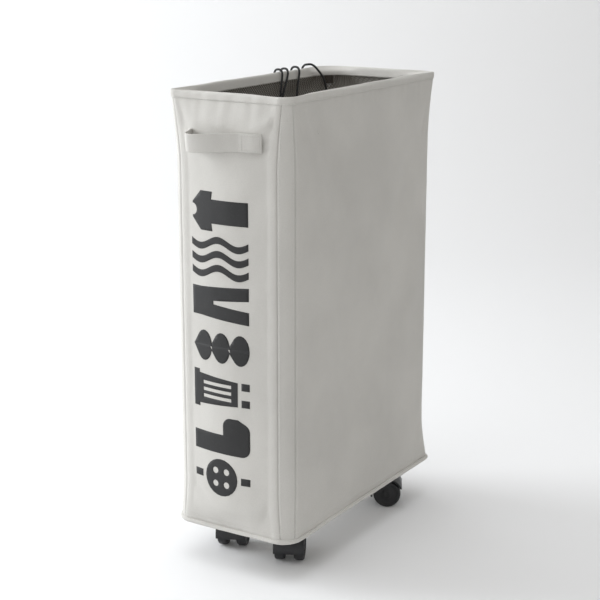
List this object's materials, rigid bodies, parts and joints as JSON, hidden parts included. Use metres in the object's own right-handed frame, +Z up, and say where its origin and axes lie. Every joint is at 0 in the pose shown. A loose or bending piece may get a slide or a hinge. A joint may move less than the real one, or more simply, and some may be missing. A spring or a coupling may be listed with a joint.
{
  "type": "laundry hamper on casters",
  "caption": "Slim upright fabric laundry hamper with an open rim, a tucked-in net collar with drawstring, a strap handle and swivel casters.",
  "frame": {"origin": "centre of the bounding box at floor level, under the wheels; the box is taken without the loose cord tails", "axes": "+Z up, +X across the narrow width, +Y from the narrow front with the strap handle towards the rear"},
  "size_m": [0.1794, 0.3889, 0.6066],
  "materials": {
    "outer_cloth": "matt woven polyester, light warm grey",
    "trim_cloth": "matt woven polyester binding and webbing",
    "net": "open polyester net",
    "cord": "braided black cord",
    "black_plastic": "moulded, fine satin",
    "board_plastic": "moulded, matt",
    "pole_aluminium": "drawn tube",
    "steel": "plated"
  },
  "bodies": {
    "bag": {"base_board": "board_plastic", "base_piping": "trim_cloth", "bottom_panel": "outer_cloth", "caster_socket_front_left": "black_plastic", "caster_socket_front_right": "black_plastic", "caster_socket_rear_left": "black_plastic", "caster_socket_rear_right": "black_plastic", "caster_stem_front_left": "steel", "caster_stem_front_right": "steel", "caster_stem_rear_left": "steel", "caster_stem_rear_right": "steel", "channel_eyelet": "steel", "collar_channel": "trim_cloth", "cord_knot_a": "cord", "cord_knot_b": "cord", "cord_lock_body": "black_plastic", "cord_lock_spring": "steel", "cord_tail_a": "cord", "cord_tail_b": "cord", "drawstring": "cord", "floor_liner": "outer_cloth", "front_panel": "outer_cloth", "front_strap": "trim_cloth", "left_panel": "outer_cloth", "mesh_collar": "net", "pole_front_left": "pole_aluminium", "pole_front_right": "pole_aluminium", "pole_rear_left": "pole_aluminium", "pole_rear_right": "pole_aluminium", "rear_panel": "outer_cloth", "right_panel": "outer_cloth", "rim_binding": "trim_cloth", "rim_clip_front_left": "black_plastic", "rim_clip_front_right": "black_plastic", "rim_clip_rear_left": "black_plastic", "rim_clip_rear_right": "black_plastic", "rim_wire": "steel", "sleeve_front_left": "trim_cloth", "sleeve_front_right": "trim_cloth", "sleeve_rear_left": "trim_cloth", "sleeve_rear_right": "trim_cloth", "wire_ferrule": "steel"},
    "caster_front_left": {"caster_hood_front_left": "black_plastic", "caster_axle_front_left": "steel"},
    "wheel_front_left_left": {"wheel_front_left_left": "black_plastic"},
    "wheel_front_left_right": {"wheel_front_left_right": "black_plastic"},
    "caster_front_right": {"caster_hood_front_right": "black_plastic", "caster_axle_front_right": "steel"},
    "wheel_front_right_left": {"wheel_front_right_left": "black_plastic"},
    "wheel_front_right_right": {"wheel_front_right_right": "black_plastic"},
    "caster_rear_right": {"caster_hood_rear_right": "black_plastic", "caster_axle_rear_right": "steel"},
    "wheel_rear_right_left": {"wheel_rear_right_left": "black_plastic"},
    "wheel_rear_right_right": {"wheel_rear_right_right": "black_plastic"},
    "caster_rear_left": {"caster_hood_rear_left": "black_plastic", "caster_axle_rear_left": "steel"},
    "wheel_rear_left_left": {"wheel_rear_left_left": "black_plastic"},
    "wheel_rear_left_right": {"wheel_rear_left_right": "black_plastic"},
    "lock_plunger": {"cord_lock_plunger": "black_plastic"}
  },
  "joints": [
    {"name": "swivel_front_left", "type": "hinge", "parent": "bag", "child": "caster_front_left", "pos_m": [-0.044, -0.10955, 0.0465], "axis": [0, 0, 1], "continuous": true},
    {"name": "spin_front_left_left", "type": "hinge", "parent": "caster_front_left", "child": "wheel_front_left_left", "pos_m": [-0.04812, -0.09935, 0.019], "axis": [0.9272, 0.3746, 0], "continuous": true},
    {"name": "spin_front_left_right", "type": "hinge", "parent": "caster_front_left", "child": "wheel_front_left_right", "pos_m": [-0.04812, -0.09935, 0.019], "axis": [0.9272, 0.3746, 0], "continuous": true},
    {"name": "swivel_front_right", "type": "hinge", "parent": "bag", "child": "caster_front_right", "pos_m": [0.044, -0.10955, 0.0465], "axis": [0, 0, 1], "continuous": true},
    {"name": "spin_front_right_left", "type": "hinge", "parent": "caster_front_right", "child": "wheel_front_right_left", "pos_m": [0.03918, -0.09966, 0.019], "axis": [0.8988, 0.4384, 0], "continuous": true},
    {"name": "spin_front_right_right", "type": "hinge", "parent": "caster_front_right", "child": "wheel_front_right_right", "pos_m": [0.03918, -0.09966, 0.019], "axis": [0.8988, 0.4384, 0], "continuous": true},
    {"name": "swivel_rear_right", "type": "hinge", "parent": "bag", "child": "caster_rear_right", "pos_m": [0.044, 0.12645, 0.0465], "axis": [0, 0, 1], "continuous": true},
    {"name": "spin_rear_right_left", "type": "hinge", "parent": "caster_rear_right", "child": "wheel_rear_right_left", "pos_m": [0.05371, 0.13161, 0.019], "axis": [0.4695, -0.8829, 0], "continuous": true},
    {"name": "spin_rear_right_right", "type": "hinge", "parent": "caster_rear_right", "child": "wheel_rear_right_right", "pos_m": [0.05371, 0.13161, 0.019], "axis": [0.4695, -0.8829, 0], "continuous": true},
    {"name": "swivel_rear_left", "type": "hinge", "parent": "bag", "child": "caster_rear_left", "pos_m": [-0.044, 0.12645, 0.0465], "axis": [0, 0, 1], "continuous": true},
    {"name": "spin_rear_left_left", "type": "hinge", "parent": "caster_rear_left", "child": "wheel_rear_left_left", "pos_m": [-0.04134, 0.13712, 0.019], "axis": [0.9703, -0.2419, 0], "continuous": true},
    {"name": "spin_rear_left_right", "type": "hinge", "parent": "caster_rear_left", "child": "wheel_rear_left_right", "pos_m": [-0.04134, 0.13712, 0.019], "axis": [0.9703, -0.2419, 0], "continuous": true},
    {"name": "plunger_press", "type": "slide", "parent": "bag", "child": "lock_plunger", "axis": [0, -1, 0], "range_m": [0, 0.0022], "stiffness_N_per_m": 600, "springref_m": -0.001, "deforming": ["cord_lock_spring"]}
  ]
}
